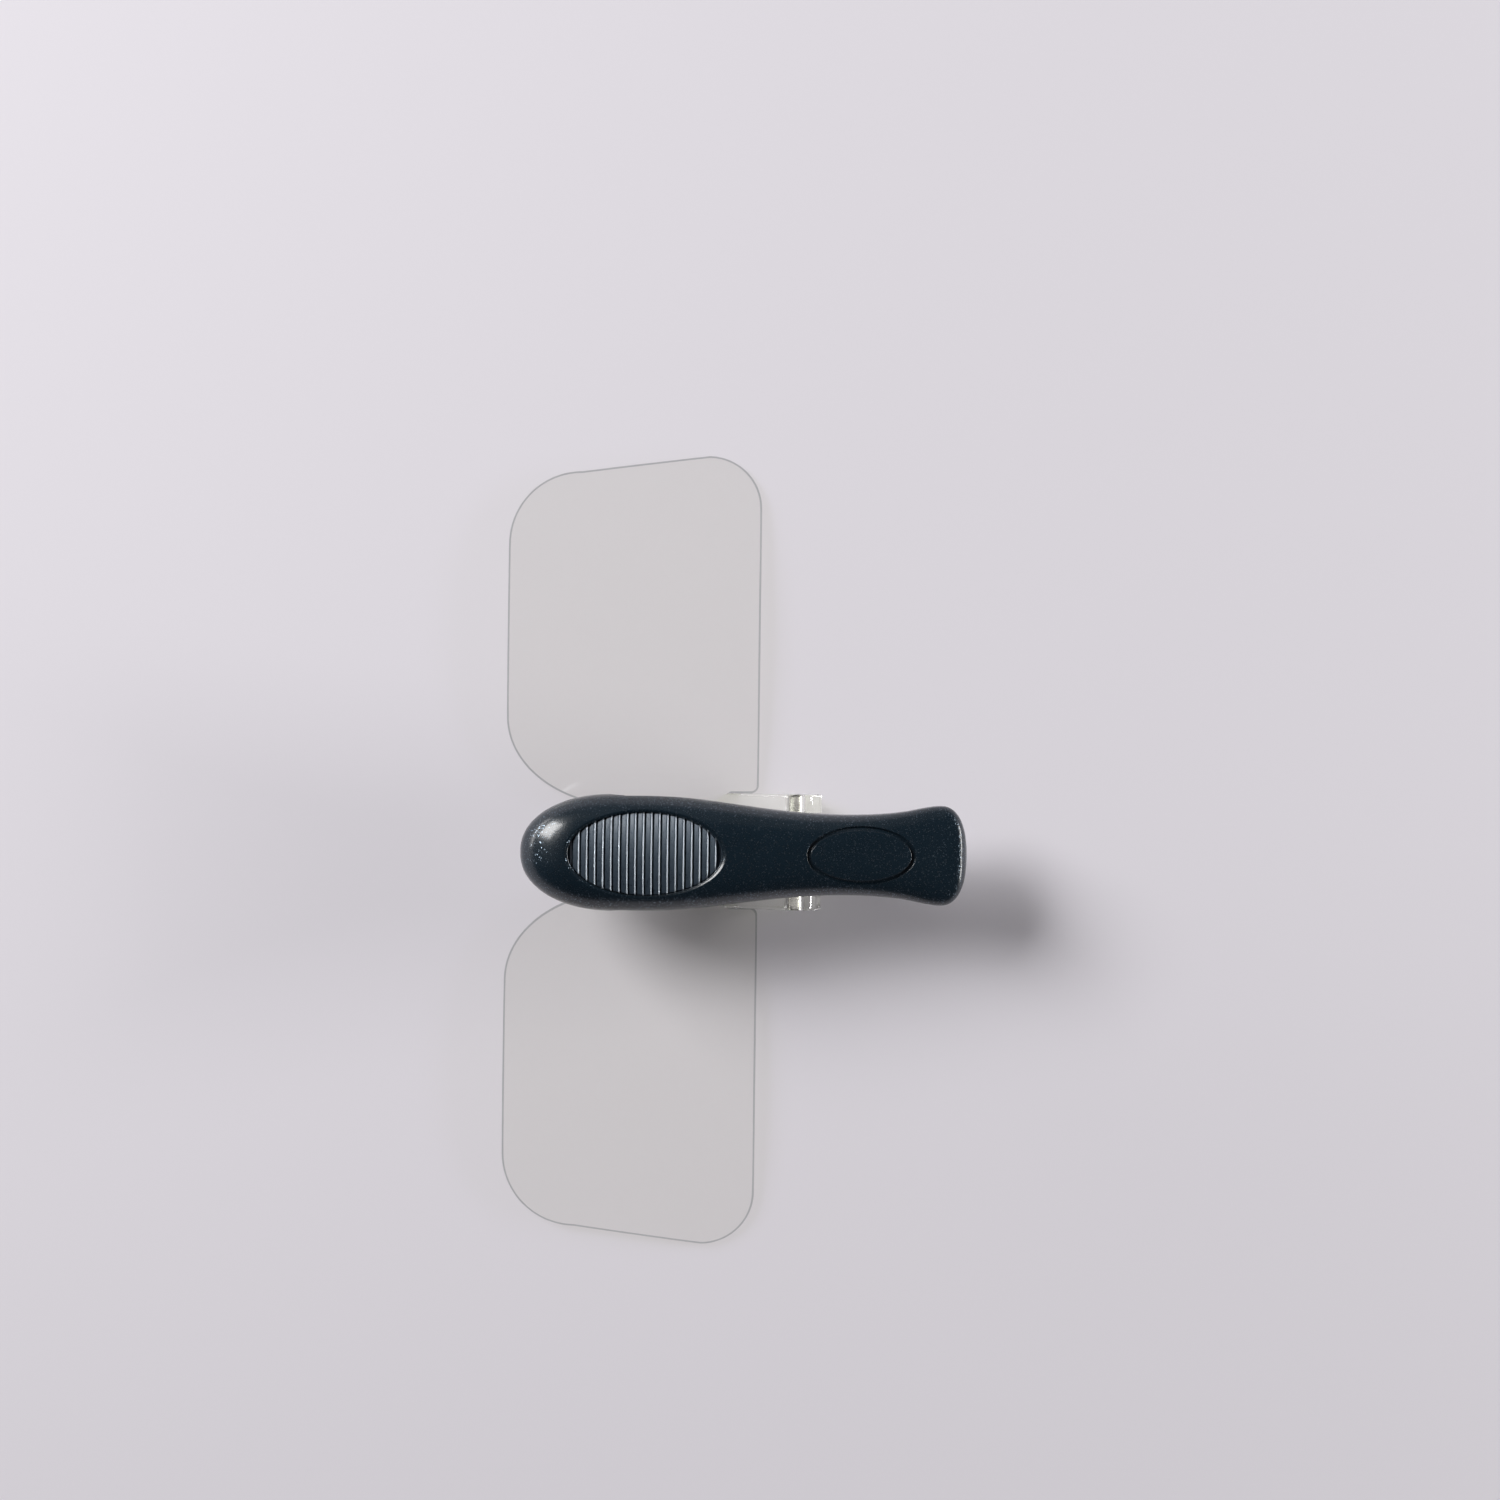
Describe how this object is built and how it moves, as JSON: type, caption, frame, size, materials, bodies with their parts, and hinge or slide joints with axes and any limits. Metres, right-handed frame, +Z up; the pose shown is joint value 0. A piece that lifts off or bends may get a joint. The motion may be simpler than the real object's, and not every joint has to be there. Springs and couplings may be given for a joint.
{
  "type": "hat brim clip magnifier",
  "caption": "Clear twin-lens magnifier on a flip hinge under a spring clip that slips over the brim of a hat, shown folded flat.",
  "frame": {"origin": "midway along, midway across and level with the flat backs of the lenses, folded under the clip", "axes": "+X from the clip's nose to its tail, +Y towards the right lens, +Z up from the lenses to the top of the clip"},
  "size_m": [0.0692, 0.12, 0.0207],
  "materials": {
    "clip_plastic": "fine moulded texture, dark blue-grey",
    "mount_plastic": "glossy black moulding",
    "lens_acrylic": "clear polished acrylic",
    "bracket_acrylic": "clear moulded acrylic, faintly yellow-green at its edges",
    "pin_steel": "bright turned steel",
    "spring_steel": "drawn spring wire and strip"
  },
  "bodies": {
    "lens_unit": {"bridge_bracket": "bracket_acrylic", "lens_left": "lens_acrylic", "lens_right": "lens_acrylic", "hinge_pin": "pin_steel", "detent_spring": "spring_steel"},
    "clip_base": {"lower_jaw": "clip_plastic", "hinge_mount": "mount_plastic", "mount_screw": "pin_steel"},
    "clip_top": {"upper_jaw": "clip_plastic", "jaw_pin": "pin_steel", "jaw_spring": "spring_steel"}
  },
  "joints": [
    {"name": "flip", "type": "hinge", "parent": "lens_unit", "child": "clip_base", "pos_m": [0.0094, 0, 0.004], "axis": [0, 1, 0], "range_deg": [0, 90], "deforming": ["detent_spring"]},
    {"name": "jaw_open", "type": "hinge", "parent": "clip_base", "child": "clip_top", "pos_m": [-0.024, 0, 0.01525], "axis": [0, -1, 0], "range_deg": [0, 8], "stiffness_Nm_per_rad": 0.118, "springref_deg": -14.32, "deforming": ["jaw_spring"]}
  ]
}
